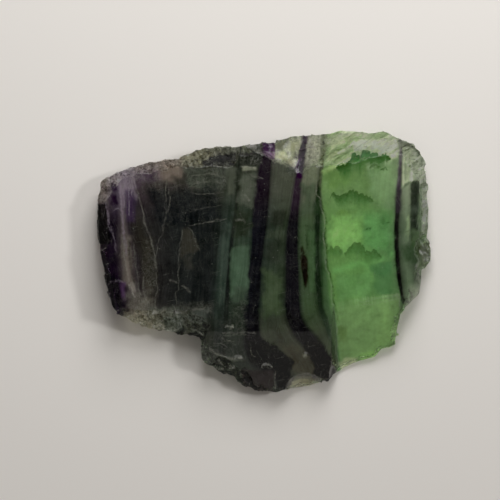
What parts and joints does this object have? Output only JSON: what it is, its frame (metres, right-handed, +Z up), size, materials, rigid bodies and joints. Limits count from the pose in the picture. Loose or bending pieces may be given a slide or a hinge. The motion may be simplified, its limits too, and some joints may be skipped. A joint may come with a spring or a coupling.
{
  "type": "fluorite slice",
  "caption": "Sawn and polished slab of banded green and purple fluorite with a broken natural rim, lying flat.",
  "frame": {"origin": "middle of the sawn underside, under the middle of the slice's box", "axes": "+Z up out of the polished face, +X along the slice's length across its colour bands, from the dark end to the green end, +Y along the bands"},
  "size_m": [0.09, 0.0706, 0.009],
  "materials": {
    "fluorite": "polished on the upper face, sawn underneath, glassy to frosted breaks round the rim"
  },
  "bodies": {
    "root": {"fluorite_slice": "fluorite"}
  },
  "joints": []
}
